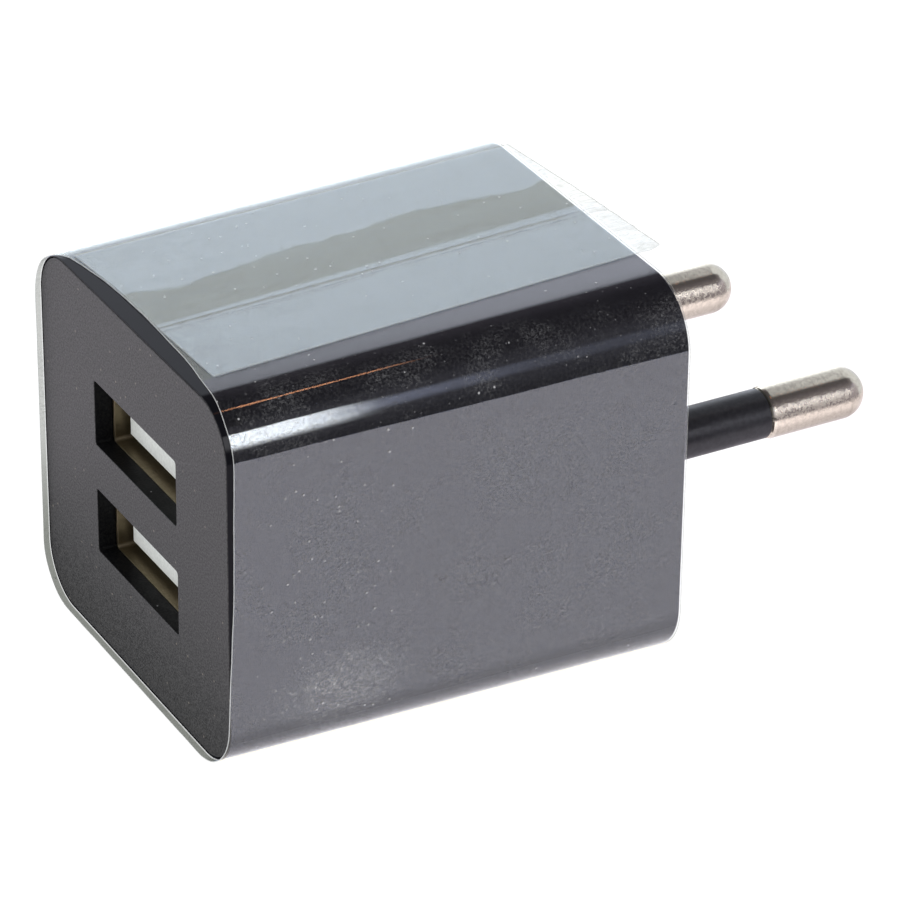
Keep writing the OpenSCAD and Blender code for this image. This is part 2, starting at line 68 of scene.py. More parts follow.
housing_low, housing_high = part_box("housing")
BODY_LEN = -housing_low.y
HALF_W = housing_high.x
HALF_H = housing_high.z
CORNER_R = 4.75 * MM
SIDE_DRAFT = 0.75 * MM
CORE_X = HALF_W - CORNER_R
CORE_Z = HALF_H - CORNER_R
FRONT_R = CORNER_R - SIDE_DRAFT
WALL = 1.6 * MM
CAVITY_R = FRONT_R - WALL
FRONT_LIP = 0.09 * MM
REAR_LIP = 0.6 * MM
FIT_GAP = 0.07 * MM
PANEL_R = FRONT_R - FRONT_LIP - FIT_GAP
PANEL_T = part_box("front_panel")[1].y + BODY_LEN
PLATE_T = 2.0 * MM
MOUTH_HALF = (6.6 * MM, 2.6 * MM)
CORNER_STEPS = 28


def edge_r(y):
    """Radius of the housing's long edges at a place along Y."""
    return CORNER_R + SIDE_DRAFT * y / BODY_LEN


def ramp(t):
    """Smooth step from 0 to 1."""
    t = min(max(t, 0.0), 1.0)
    return t * t * (3 - 2 * t)


def follow(table, t):
    """Value at t of a line through the table's points (t, value), held beyond its ends."""
    if t <= table[0][0]:
        return table[0][1]
    for (t0, v0), (t1, v1) in zip(table, table[1:]):
        if t <= t1:
            return v0 + (v1 - v0) * (t - t0) / (t1 - t0)
    return table[-1][1]


# ---------- meshes ----------

# Edges that turn by more than this stay sharp
SHARP_ANGLE = math.radians(35)
# Vertices nearer than this are joined
MERGE = 1e-7


def filleted(corners, steps=5):
    """Outline whose corners (a, b, radius) are rounded, as a closed list of points."""
    points = []
    for i, (a, b, radius) in enumerate(corners):
        corner = Vector((a, b))
        if radius == 0:
            points.append(corner)
            continue
        before = (Vector(corners[i - 1][:2]) - corner).normalized()
        after = (Vector(corners[(i + 1) % len(corners)][:2]) - corner).normalized()
        half = before.angle(after) / 2
        centre = corner + (before + after).normalized() * radius / math.sin(half)
        start = corner + before * radius / math.tan(half) - centre
        end = corner + after * radius / math.tan(half) - centre
        sweep = math.atan2(start.x * end.y - start.y * end.x, start.dot(end))
        for k in range(steps + 1):
            turn = sweep * k / steps
            points.append(centre + Matrix.Rotation(turn, 2) @ start)
    return points


def rounded_section(core_x, core_z, radius, steps=CORNER_STEPS):
    """Points (x, z) round a rectangle of that core, rounded by a radius."""
    points = []
    for quarter, (sx, sz) in enumerate(((1, 1), (-1, 1), (-1, -1), (1, -1))):
        for k in range(steps + 1):
            angle = math.pi / 2 * (quarter + k / steps)
            points.append((sx * core_x + radius * math.cos(angle), sz * core_z + radius * math.sin(angle)))
    return points


def skin(rings, closed=False):
    """Vertices and quads over rings of equal length. A closed skin joins its last ring to its first."""
    count = len(rings[0])
    vertices = [p for ring in rings for p in ring]
    faces = []
    for i in range(len(rings) if closed else len(rings) - 1):
        a, b = i * count, (i + 1) % len(rings) * count
        for j in range(count):
            k = (j + 1) % count
            faces.append((a + j, a + k, b + k, b + j))
    return vertices, faces


def piece(name, vertices, faces, materials, slot, body="charger", pick=None):
    """A closed mesh that rides on a body. pick(face) gives a face's material, by number."""
    mesh = bpy.data.meshes.new(name)
    mesh.from_pydata([tuple(v) for v in vertices], [], faces)
    work = bmesh.new()
    work.from_mesh(mesh)
    bmesh.ops.remove_doubles(work, verts=work.verts, dist=MERGE)
    bmesh.ops.recalc_face_normals(work, faces=work.faces)
    if pick:
        for face in work.faces:
            face.material_index = pick(face)
    work.to_mesh(mesh)
    work.free()
    for material in materials:
        mesh.materials.append(material)
    mesh.shade_smooth()
    mesh.set_sharp_from_angle(angle=SHARP_ANGLE)
    made = bpy.data.objects.new(name, mesh)
    bpy.context.scene.collection.objects.link(made)
    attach(made, body)
    weighted = made.modifiers.new("even_shading", "WEIGHTED_NORMAL")
    weighted.keep_sharp = True
    return made


def section_loft(profile):
    """Closed skin of the housing's section, whose radius and place along Y follow a closed profile."""
    return skin([[(x, y, z) for x, z in rounded_section(CORE_X, CORE_Z, r)] for r, y in profile], closed=True)


def turned(profile, x, steps=64, closed=True):
    """Skin of a profile (radius, y) turned about an axis along Y."""
    turns = [2 * math.pi * k / steps for k in range(steps)]
    rings = [[(x + r * math.cos(t), y, r * math.sin(t)) for t in turns] for r, y in profile]
    return skin(rings, closed)


# ---------- material building blocks ----------


def add(tree, kind, inputs=None, **settings):
    """A node with its settings, whose inputs are constants or other nodes' sockets."""
    made = tree.nodes.new(kind)
    for key, value in settings.items():
        setattr(made, key, value)
    for key, value in (inputs or {}).items():
        if isinstance(value, bpy.types.NodeSocket):
            tree.links.new(value, made.inputs[key])
        else:
            made.inputs[key].default_value = value
    return made


def calc(tree, operation, a, b=0.0, c=0.0):
    """Result of a Math node."""
    return add(tree, "ShaderNodeMath", {0: a, 1: b, 2: c}, operation=operation).outputs[0]


def between(tree, value, low, high, to_low=0.0, to_high=1.0):
    """Value mapped smoothly from low..high to to_low..to_high, and held outside."""
    made = add(tree, "ShaderNodeMapRange", {"Value": value, "From Min": low, "From Max": high,
               "To Min": to_low, "To Max": to_high}, interpolation_type="SMOOTHSTEP")
    return made.outputs["Result"]


def straight(tree, value, low, high, to_low, to_high):
    """Value mapped in a straight line from low..high to to_low..to_high, and held outside."""
    made = add(tree, "ShaderNodeMapRange", {"Value": value, "From Min": low, "From Max": high,
               "To Min": to_low, "To Max": to_high})
    return made.outputs["Result"]


def millimetres(tree, stretch=(1, 1, 1)):
    """Place on the object in millimetres, with each axis scaled by stretch."""
    place = add(tree, "ShaderNodeTexCoord").outputs["Object"]
    scale = tuple(s / MM for s in stretch)
    return add(tree, "ShaderNodeVectorMath", {0: place, 1: scale}, operation="MULTIPLY").outputs[0]


def grain(tree, place, per_mm, detail=3.0, roughness=0.5, distortion=0.0):
    """Noise of about 0 to 1, with so many waves to the millimetre."""
    made = add(tree, "ShaderNodeTexNoise", {"Vector": place, "Scale": per_mm, "Detail": detail,
               "Roughness": roughness, "Distortion": distortion})
    return made.outputs["Fac"]


def specks(tree, place, per_mm, size):
    """Sparse round dots: 1 inside a dot and 0 outside."""
    cells = add(tree, "ShaderNodeTexVoronoi", {"Vector": place, "Scale": per_mm}, feature="F1")
    pickiness = add(tree, "ShaderNodeSeparateColor", {0: cells.outputs["Color"]}).outputs[0]
    near = between(tree, cells.outputs["Distance"], size, size * 0.5)
    return calc(tree, "MULTIPLY", near, between(tree, pickiness, 0.72, 0.8))


def mixed_colours(tree, fac, first, second):
    """First colour where fac is 0 and second where it is 1. Each is a socket or a constant."""
    mix = add(tree, "ShaderNodeMix", {"Factor": fac}, data_type="RGBA")
    for key, value in ((6, first), (7, second)):
        if isinstance(value, bpy.types.NodeSocket):
            tree.links.new(value, mix.inputs[key])
        else:
            mix.inputs[key].default_value = (*value, 1)
    return mix.outputs[2]


def dusted(tree, colour, dots, share, dust):
    """A colour with that share of dust over it inside the dots."""
    return mixed_colours(tree, calc(tree, "MULTIPLY", dots, share), colour, dust)


def bumped(tree, height, depth_mm):
    """Normal of a relief whose height runs from 0 to 1 over that depth."""
    return add(tree, "ShaderNodeBump", {"Height": height, "Distance": depth_mm * MM}).outputs["Normal"]


def blank(name):
    """A material without nodes, and its node tree."""
    material = bpy.data.materials.new(name)
    material.use_nodes = True
    tree = material.node_tree
    tree.nodes.clear()
    return material, tree


def shade(tree, shader):
    add(tree, "ShaderNodeOutputMaterial", {"Surface": shader.outputs[0]})


def surface(name, first, second, rough, grain_per_mm, depth_mm, metallic=0.0, specular=0.5,
            stretch=(1, 1, 1), coat=0.0, dust=0.0):
    """A solid material: two tones, a range of roughness and a relief, all from one grain."""
    material, tree = blank(name)
    place = millimetres(tree, stretch)
    fine = grain(tree, place, grain_per_mm)
    broad = grain(tree, place, grain_per_mm / 7, detail=2.0)
    tone = between(tree, fine, 0.35, 0.65)
    colour = mixed_colours(tree, tone, first, second)
    if dust:
        colour = dusted(tree, colour, specks(tree, millimetres(tree), 1.1, 0.09), dust, (0.5, 0.5, 0.52))
    shader = add(tree, "ShaderNodeBsdfPrincipled", {
        "Base Color": colour, "Roughness": between(tree, broad, 0.3, 0.7, *rough), "Metallic": metallic,
        "Specular IOR Level": specular, "Coat Weight": coat, "Coat Roughness": 0.08,
        "Normal": bumped(tree, fine, depth_mm)})
    shade(tree, shader)
    return material


# ---------- materials of the outside ----------

# Top face's height and front face's place along Y, in millimetres, and how far down the top is taken to reach
TOP = HALF_H / MM
FRONT = -BODY_LEN / MM
TOP_DEPTH = 2
# Edges of the band where the film clings to the housing: x at the front and at the rear, in millimetres
CLING_LEFT = (-3.9, -4.9)
CLING_RIGHT = (1.1, -0.15)
# Crease beside the band, with the share of the length where it starts: x at the front and at the rear
CREASE = (1.55, 0.9)
CREASE_START = 0.12
# Middle of the two pale lines beside the crease, in the same way, and each line's distance from it
PALE_LINES = (1.95, 1.15)
PALE_APART = 0.28
# Right edge of the film's second layer: x at the front and at the rear, in millimetres
LAYER_EDGE = (9.5, 8.4)
# How far the second layer's front edge is set back, in millimetres, at places along X
OVERLAP_SETBACK = ((-11.0, 0.95), (-5.0, 1.45), (2.4, 1.5), (9.5, 1.8))


def line_along(tree, along, ends, start=0):
    """x of a line on the top that runs from its rear end, at share start of the length, to its front end."""
    return straight(tree, along, start, 1, ends[1], ends[0])


def cling(tree):
    """How closely the film clings to the top of the housing: most in a band, less beside the second layer."""
    place = add(tree, "ShaderNodeSeparateXYZ", {0: millimetres(tree)})
    x, y, z = place.outputs
    along = calc(tree, "DIVIDE", y, FRONT)
    wander = grain(tree, millimetres(tree, (0.3, 1, 0)), 0.11, detail=4.0)
    left = calc(tree, "ADD", between(tree, along, 0, 1, CLING_LEFT[1], CLING_LEFT[0]),
                between(tree, wander, 0.3, 0.7, -0.7, 0.7))
    right = line_along(tree, along, CLING_RIGHT)
    streaks = grain(tree, millimetres(tree, (2.4, 0.12, 0)), 0.5, detail=3.0, distortion=0.3)
    inside = calc(tree, "MULTIPLY", between(tree, calc(tree, "SUBTRACT", x, left), 0.0, 0.15),
                  between(tree, calc(tree, "SUBTRACT", right, x), 0.0, 0.08))
    inside = calc(tree, "MULTIPLY", inside, between(tree, streaks, 0.35, 0.7, 0.76, 0.6))
    # A dark crease just right of the band
    off = calc(tree, "SUBTRACT", x, line_along(tree, along, CREASE, start=CREASE_START))
    crease = between(tree, calc(tree, "ABSOLUTE", off), 0.15, 0.07)
    crease = calc(tree, "MULTIPLY", crease, between(tree, along, 0.03, 0.07, 0.0, 0.95))
    # The single layer that shows to the right of the second one
    beside = calc(tree, "SUBTRACT", x, line_along(tree, along, LAYER_EDGE))
    beside = calc(tree, "MULTIPLY", between(tree, beside, -0.1, 0.1), between(tree, x, 12.2, 11.4))
    beside = calc(tree, "MULTIPLY", beside, straight(tree, along, 0, 1, 0.38, 0.97))
    # The single layer that shows in front of the second one, whose setback is taken as a straight line here
    set_back = straight(tree, x, OVERLAP_SETBACK[1][0], OVERLAP_SETBACK[3][0], 1.4, 1.8)
    before = calc(tree, "SUBTRACT", set_back, calc(tree, "ADD", y, -FRONT))
    before = calc(tree, "MULTIPLY", between(tree, before, -0.04, 0.04), between(tree, x, 2.0, 4.0, 0.0, 0.8))
    both = calc(tree, "MAXIMUM", calc(tree, "MAXIMUM", inside, crease), calc(tree, "MAXIMUM", beside, before))
    return calc(tree, "MULTIPLY", both, calc(tree, "GREATER_THAN", z, TOP - TOP_DEPTH))


def gloss_black():
    """Polished black moulding. The film's inner face shows where the film clings to it."""
    material, tree = blank("housing_gloss")
    place = millimetres(tree)
    broad = grain(tree, place, 0.25, detail=4.0)
    dots = specks(tree, place, 0.9, 0.07)
    shader = add(tree, "ShaderNodeBsdfPrincipled", {
        "Base Color": mixed_colours(tree, dots, (0.006, 0.006, 0.008), (0.12, 0.12, 0.13)),
        "Roughness": between(tree, broad, 0.3, 0.7, 0.03, 0.07),
        "IOR": 1.22, "Specular IOR Level": 0.28,
        "Normal": bumped(tree, broad, 0.01)})
    shade(tree, shader)
    return material


# Tints of the film's reflections: outer face, inner face, and outer face of a single layer on the top
WARM_TINT = (0.96, 0.95, 0.76)
COOL_TINT = (0.74, 0.84, 1.0)
SINGLE_TINT = (0.96, 0.94, 0.97)
FILM_ROUGH = 0.02
# Share of the inner face's gloss that is left where the film clings
CLUNG_GLOSS = 0.08
# What passes through the film where it is clear and where it is hazy
CLEAR = (0.985, 0.99, 0.99)
HAZY = (0.5, 0.51, 0.485)
# Dust: a thin grey layer, and white grains
GREY_DUST = (0.3, 0.3, 0.31)
WHITE_DUST = (0.75, 0.75, 0.77)
# Share of dust over the film in scratches, smears, the dusty patch's fluff, and dots of two sizes
SCRATCHES = 0.3
SMEARS = 0.2
FLUFF = 0.5
DOTS = 0.5
FINE_DOTS = 0.13
# Share of the scratches and smears that the nearly clean top keeps
CLEAN_TOP = 0.08
TAB_HAZE = 0.33
# Middle of a dusty patch low on the right side, in millimetres, with y shortened by the patch's stretch
PATCH_STRETCH = (1, 0.6, 1)
PATCH = (HALF_W / MM, -16.5, -9.0)


def film_face(name, base_gloss, tint, clings):
    """One face of the clear film: what isn't reflected passes straight through."""
    material, tree = blank(name)
    place = millimetres(tree)
    facing = add(tree, "ShaderNodeLayerWeight", {"Blend": 0.5}).outputs["Facing"]
    gloss = calc(tree, "MULTIPLY_ADD", calc(tree, "POWER", facing, 5.0), 1 - base_gloss, base_gloss)
    if clings:
        gloss = calc(tree, "MULTIPLY", gloss, straight(tree, cling(tree), 0, 1, 1.0, CLUNG_GLOSS))
    waves = grain(tree, millimetres(tree, (1, 0.12, 1)), 0.5, detail=3.0)
    normal = bumped(tree, waves, 0.02)
    # The film is hazy where it stands free: a strip before the front face, and the crumpled tab at the rear
    x, y, z = add(tree, "ShaderNodeSeparateXYZ", {0: place}).outputs
    front_strip = between(tree, y, FRONT + 0.02, FRONT - 0.06)
    front_strip = calc(tree, "MULTIPLY", front_strip, between(tree, z, 1.0, -11.0, 0.42, 0.95))
    crumple = grain(tree, millimetres(tree, (1.6, 0.5, 1.6)), 1.6, detail=5.0, roughness=0.7, distortion=1.5)
    tab = calc(tree, "MULTIPLY", between(tree, y, 0.02, 0.1), between(tree, crumple, 0.42, 0.7, 0.1, 1.0))
    haze = calc(tree, "MAXIMUM", front_strip, calc(tree, "MULTIPLY", tab, TAB_HAZE))
    clear = add(tree, "ShaderNodeBsdfTransparent", {"Color": mixed_colours(tree, haze, CLEAR, HAZY)})
    along = calc(tree, "DIVIDE", y, FRONT)
    one_layer = between(tree, calc(tree, "SUBTRACT", x, line_along(tree, along, LAYER_EDGE)), 0.0, 0.2)
    one_layer = calc(tree, "MULTIPLY", one_layer, between(tree, z, TOP - TOP_DEPTH, TOP - 1))
    shine = add(tree, "ShaderNodeBsdfGlossy", {
        "Color": mixed_colours(tree, one_layer, tint, SINGLE_TINT), "Roughness": FILM_ROUGH,
        "Normal": normal})
    plain = add(tree, "ShaderNodeMixShader", {0: gloss, 1: clear.outputs[0], 2: shine.outputs[0]})
    if clings:
        shade(tree, plain)
        return material
    # Dust, smears and fine scratches lie on the outer face only
    patches = grain(tree, place, 0.3, detail=3.0)
    lines = grain(tree, millimetres(tree, (1.2, 0.35, 2.4)), 2.6, detail=5.0, roughness=0.7, distortion=1.2)
    scratches = calc(tree, "MULTIPLY", between(tree, lines, 0.58, 0.7), between(tree, patches, 0.46, 0.6))
    # A dusty patch low on the right side, near the front
    apart = add(tree, "ShaderNodeVectorMath", {0: millimetres(tree, PATCH_STRETCH), 1: PATCH},
                operation="DISTANCE").outputs["Value"]
    fluff = grain(tree, place, 3.5, detail=6.0, roughness=0.8, distortion=2.0)
    fluff = calc(tree, "MULTIPLY", between(tree, apart, 4.5, 0.5), between(tree, fluff, 0.5, 0.6))
    smears = grain(tree, place, 5.0, detail=4.0, roughness=0.75)
    smears = calc(tree, "MULTIPLY", between(tree, smears, 0.42, 0.66),
                  between(tree, patches, 0.4, 0.65, 0.3, 1.0))
    # The top is nearly clean
    dusty = between(tree, z, TOP - 0.15, TOP - 1, CLEAN_TOP, 1.0)
    marks = calc(tree, "ADD", calc(tree, "MULTIPLY", scratches, SCRATCHES),
                 calc(tree, "MULTIPLY", smears, SMEARS))
    marks = calc(tree, "MAXIMUM", calc(tree, "MULTIPLY", marks, dusty),
                 calc(tree, "MULTIPLY", fluff, FLUFF))
    dots = calc(tree, "MAXIMUM", calc(tree, "MULTIPLY", specks(tree, place, 1.3, 0.15), DOTS),
                calc(tree, "MULTIPLY", specks(tree, place, 2.6, 0.26), FINE_DOTS))
    # Two pale stress lines beside the band where the film clings
    off = calc(tree, "SUBTRACT", x, line_along(tree, along, PALE_LINES))
    twin = calc(tree, "ABSOLUTE", calc(tree, "SUBTRACT", calc(tree, "ABSOLUTE", off), PALE_APART))
    pale = calc(tree, "MULTIPLY", between(tree, twin, 0.12, 0.02), between(tree, lines, 0.35, 0.6, 0.05, 0.3))
    pale = calc(tree, "MULTIPLY", pale, calc(tree, "GREATER_THAN", z, TOP - TOP_DEPTH))
    dirt = calc(tree, "MAXIMUM", calc(tree, "MAXIMUM", marks, dots), pale)
    dull = add(tree, "ShaderNodeBsdfDiffuse", {
        "Color": mixed_colours(tree, between(tree, calc(tree, "MAXIMUM", dots, fluff), 0.05, 0.2),
                               GREY_DUST, WHITE_DUST)})
    mixed = add(tree, "ShaderNodeMixShader", {0: dirt, 1: plain.outputs[0], 2: dull.outputs[0]})
    shade(tree, mixed)
    return material


def film_rim():
    """Cut edge of the film, which catches the light."""
    material, tree = blank("film_rim")
    nicks = grain(tree, millimetres(tree), 1.5)
    shader = add(tree, "ShaderNodeBsdfPrincipled", {
        "Base Color": mixed_colours(tree, nicks, (0.62, 0.64, 0.64), (0.9, 0.91, 0.9)),
        "Roughness": between(tree, nicks, 0.3, 0.7, 0.15, 0.4), "Alpha": 0.65})
    shade(tree, shader)
    return material


def panel_grain():
    """Charcoal moulding with a fine mottled grain. Its cut walls are smooth black plastic, darker still
    through painted shade, in a material of their own.
    """
    material, tree = blank("panel_charcoal")
    place = millimetres(tree)
    fine = grain(tree, place, 6.5, detail=3.0, roughness=0.8)
    blotch = grain(tree, place, 2.2, detail=3.0)
    mottle = calc(tree, "ADD", calc(tree, "MULTIPLY", fine, 0.8), calc(tree, "MULTIPLY", blotch, 0.2))
    colour = mixed_colours(tree, between(tree, mottle, 0.4, 0.6),
                           (0.017, 0.0168, 0.017), (0.074, 0.073, 0.073))
    dots = specks(tree, place, 1.2, 0.13)
    shader = add(tree, "ShaderNodeBsdfPrincipled", {
        "Base Color": dusted(tree, colour, dots, 0.3, (0.5, 0.44, 0.36)),
        "Roughness": between(tree, blotch, 0.3, 0.7, 0.48, 0.6), "IOR": 1.4,
        "Specular IOR Level": 0.3, "Normal": bumped(tree, mottle, 0.02)})
    shade(tree, shader)
    return material


def nickel():
    """Nickel plating with fine turning marks, small pits, and a rubbed stripe along the upper outer side."""
    material, tree = blank("pin_nickel")
    place = millimetres(tree)
    z = add(tree, "ShaderNodeSeparateXYZ", {0: place}).outputs[2]
    marks = grain(tree, millimetres(tree, (0.15, 1, 0.15)), 10.0, detail=2.0)
    wear = grain(tree, place, 3.0, detail=5.0, roughness=0.7)
    pits = specks(tree, place, 3.5, 0.25)
    stripe = calc(tree, "MULTIPLY", between(tree, z, -0.1, 0.25), between(tree, z, 1.35, 1.0))
    rubbed = calc(tree, "MULTIPLY", stripe, between(tree, wear, 0.4, 0.58))
    rough = calc(tree, "ADD", between(tree, wear, 0.35, 0.7, 0.16, 0.22), calc(tree, "MULTIPLY", rubbed, 0.2))
    relief = calc(tree, "SUBTRACT", calc(tree, "ADD", calc(tree, "MULTIPLY", marks, 0.2), wear),
                  calc(tree, "MULTIPLY", pits, 0.5))
    shader = add(tree, "ShaderNodeBsdfPrincipled", {
        "Base Color": mixed_colours(tree, between(tree, wear, 0.4, 0.65),
                                    (0.77, 0.71, 0.58), (0.67, 0.61, 0.5)),
        "Metallic": 1.0, "Roughness": rough, "Normal": bumped(tree, relief, 0.0035)})
    shade(tree, shader)
    return material


def port_bronze():
    """Plated spring steel, darker away from the mouth: painted shade inside the port."""
    material, tree = blank("port_bronze")
    place = millimetres(tree)
    y = add(tree, "ShaderNodeSeparateXYZ", {0: place}).outputs[1]
    drawn = grain(tree, millimetres(tree, (1, 0.5, 1)), 3.0, detail=5.0, roughness=0.75)
    # Painted shade: the colour darkens over the first 5 mm behind the front panel, broken up by the drawn
    # grain
    deep = between(tree, y, (-BODY_LEN + PANEL_T) / MM, (-BODY_LEN + PANEL_T) / MM + 5.0)
    mixed = calc(tree, "MULTIPLY", deep, between(tree, drawn, 0.4, 0.6, 0.2, 1.0))
    shader = add(tree, "ShaderNodeBsdfPrincipled", {
        "Base Color": mixed_colours(tree, mixed, (0.24, 0.195, 0.12), (0.13, 0.1, 0.065)), "Metallic": 0.92,
        "Roughness": between(tree, drawn, 0.35, 0.65, 0.32, 0.55), "Normal": bumped(tree, drawn, 0.012)})
    shade(tree, shader)
    return material


# Each slot of the record, with its tones, roughness and grain
SLOT_MATERIALS = {
    "gloss_black": gloss_black(),
    "satin_grey": panel_grain(),
    "matte_black": surface("plate_black", (0.016, 0.016, 0.018), (0.028, 0.028, 0.03), (0.5, 0.62),
                           7.0, 0.015, specular=0.35, dust=0.15),
    "nickel": nickel(),
    "sleeve_black": surface("sleeve_satin", (0.01, 0.01, 0.013), (0.018, 0.018, 0.022), (0.3, 0.42),
                            3.0, 0.008, specular=0.45, dust=0.35),
    "solder": surface("solder_tin", (0.55, 0.56, 0.58), (0.7, 0.7, 0.72), (0.2, 0.4), 3.0, 0.02,
                      metallic=1.0),
    "port_steel": port_bronze(),
    "port_white": surface("insulator_white", (0.8, 0.83, 0.8), (0.89, 0.92, 0.89), (0.38, 0.5), 5.0, 0.01),
    "contact_gold": surface("contact_gold", (0.72, 0.52, 0.2), (0.8, 0.6, 0.28), (0.18, 0.34), 6.0, 0.004,
                            metallic=1.0, stretch=(1, 0.1, 1)),
    "board_green": surface("board_green", (0.008, 0.06, 0.025), (0.02, 0.11, 0.05), (0.22, 0.34), 2.4, 0.012,
                           stretch=(1, 1, 0.3), coat=0.3),
    "chip_black": surface("chip_epoxy", (0.014, 0.014, 0.015), (0.03, 0.03, 0.031), (0.5, 0.65), 9.0, 0.01),
    "chip_ceramic": surface("chip_ceramic", (0.26, 0.19, 0.11), (0.4, 0.31, 0.2), (0.35, 0.5), 5.0, 0.01),
    "sheet_paper": surface("sheet_paper", (0.5, 0.45, 0.32), (0.62, 0.57, 0.43), (0.7, 0.85), 6.0, 0.03,
                           stretch=(1, 1, 0.4)),
    "ferrite": surface("core_ferrite", (0.04, 0.04, 0.044), (0.08, 0.08, 0.085), (0.55, 0.7), 6.0, 0.02),
    "copper": surface("winding_copper", (0.42, 0.17, 0.07), (0.66, 0.32, 0.15), (0.25, 0.4), 5.0, 0.04,
                      metallic=1.0, stretch=(1.2, 0.05, 0.05)),
    "tape_yellow": surface("tape_yellow", (0.66, 0.5, 0.05), (0.8, 0.66, 0.14), (0.2, 0.35), 1.5, 0.02,
                           coat=0.4),
    "can_aluminium": surface("can_aluminium", (0.6, 0.6, 0.62), (0.74, 0.74, 0.76), (0.25, 0.42), 5.0, 0.01,
                             metallic=1.0, stretch=(1, 0.15, 1)),
    "can_sleeve_blue": surface("can_sleeve_blue", (0.012, 0.035, 0.14), (0.03, 0.07, 0.22), (0.2, 0.35),
                               1.6, 0.02, coat=0.4),
    "can_sleeve_green": surface("can_sleeve_green", (0.01, 0.08, 0.04), (0.03, 0.15, 0.08), (0.2, 0.35),
                                1.6, 0.02, coat=0.4),
    "disc_blue": surface("disc_blue", (0.02, 0.09, 0.36), (0.04, 0.15, 0.5), (0.3, 0.45), 2.0, 0.03),
    "choke_green": surface("choke_green", (0.03, 0.15, 0.06), (0.07, 0.24, 0.1), (0.3, 0.45), 2.0, 0.03),
    "resistor_green": surface("resistor_teal", (0.07, 0.24, 0.2), (0.13, 0.34, 0.29), (0.3, 0.45), 2.0, 0.03),
}

# Cut walls of the port recesses: smooth black plastic, darkened further to near black as painted shade inside
# the recesses, with dust specks
RECESS_BLACK_SHADED = surface("recess_black_painted_shade", (0.003, 0.003, 0.004), (0.009, 0.009, 0.009), (0.3, 0.45), 6.0, 0.01,
                       specular=0.1, dust=0.45)
FILM_OUTER = film_face("film_outer", 0.052, WARM_TINT, clings=False)
FILM_INNER = film_face("film_inner", 0.085, COOL_TINT, clings=True)
FILM_RIM = film_rim()

# ---------- casing ----------


def build_housing():
    """Gloss casing: one shell with a rim for the front panel and one for the rear plate."""
    front, rear = -BODY_LEN, 0.0
    panel_y = front + PANEL_T
    profile = filleted([
        (edge_r(front), front, 0.04 * MM), (PANEL_R + FIT_GAP, front, 0.03 * MM),
        (PANEL_R + FIT_GAP, panel_y, 0), (CAVITY_R, panel_y, 0), (CAVITY_R, rear - PLATE_T, 0),
        (CORNER_R - REAR_LIP, rear - PLATE_T, 0), (CORNER_R - REAR_LIP, rear, 0.08 * MM),
        (CORNER_R, rear, 0.22 * MM)
    ])
    made = piece("housing_shell", *section_loft(profile), [SLOT_MATERIALS["gloss_black"]], "gloss_black")
    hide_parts("housing")


def outline_plate(name, outlines, y_front, y_rear, edge, materials, slot, pick=None):
    """A flat plate along Y whose outer outline comes first and its holes after, with rounded edges."""
    curve = bpy.data.curves.new(name, "CURVE")
    curve.dimensions = "2D"
    curve.fill_mode = "BOTH"
    curve.extrude = (y_rear - y_front) / 2 - edge
    curve.bevel_depth = edge
    curve.bevel_resolution = 2
    curve.offset = -edge
    for points in outlines:
        spline = curve.splines.new("POLY")
        spline.points.add(len(points) - 1)
        for point, (x, z) in zip(spline.points, points):
            point.co = (x, z, 0, 1)
        spline.use_cyclic_u = True
    holder = bpy.data.objects.new(name, curve)
    bpy.context.scene.collection.objects.link(holder)
    flat = bpy.data.meshes.new_from_object(holder.evaluated_get(bpy.context.evaluated_depsgraph_get()))
    bpy.data.objects.remove(holder)
    middle = (y_front + y_rear) / 2
    vertices = [(v.co.x, middle - v.co.z, v.co.y) for v in flat.vertices]
    faces = [tuple(p.vertices) for p in flat.polygons]
    return piece(name, vertices, faces, materials, slot, pick=pick)


def port_centres():
    """Middle of each port, as (x, z), lower one first."""
    centres = []
    for name in ("lower_port_shell", "upper_port_shell"):
        low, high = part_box(name)
        centres.append(((low.x + high.x) / 2, (low.z + high.z) / 2))
    return centres


def build_front_panel():
    outer = rounded_section(CORE_X, CORE_Z, PANEL_R)
    corner = 0.25 * MM
    holes = []
    for x, z in port_centres():
        section = rounded_section(MOUTH_HALF[0] - corner, MOUTH_HALF[1] - corner, corner, steps=6)
        holes.append([(x + px, z + pz) for px, pz in section])

    # Side faces within the mouths' width, chiefly the mouths' cut walls, take the second material: black
    # plastic with painted shade
    def pick(face):
        middle = face.calc_center_median()
        return int(abs(face.normal.y) < 0.6 and abs(middle.x) < MOUTH_HALF[0] + MM)

    made = outline_plate("front_panel_plate", [outer, *holes], -BODY_LEN, -BODY_LEN + PANEL_T, 0.07 * MM,
                         [SLOT_MATERIALS["satin_grey"], RECESS_BLACK_SHADED], "satin_grey", pick)
    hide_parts("front_panel")


# ---------- film ----------

# Numbers of the film's materials
OUTER, INNER, RIM = 0, 1, 2
FILM_T = 0.06 * MM
FILM_GAP = 0.03 * MM
RIM_WIDTH = 0.045 * MM
# Share of a normal along an axis that parts the film's rim from its faces
STEEP = 0.7
SIDE_STEPS = 30
LENGTH_STEPS = 40
# How far the film's front edge is set back from the housing's front face, in millimetres, at shares of the
# way round: from the top of the right side over the top, down the left side, along the bottom and up again
FILM_SETBACK = (
    (0.0, 0.45), (0.05, 0.45), (0.1, 0.7), (0.123, 1.13), (0.138, 1.28), (0.159, 1.38), (0.179, 1.48),
    (0.2, 1.42), (0.221, 1.25), (0.241, 0.85), (0.25, 0.6), (0.27, 0.1), (0.3, -0.3), (0.35, -0.42),
    (0.5, -0.48), (0.75, -0.5), (0.85, -0.2), (0.93, 0.35), (1.0, 0.45))


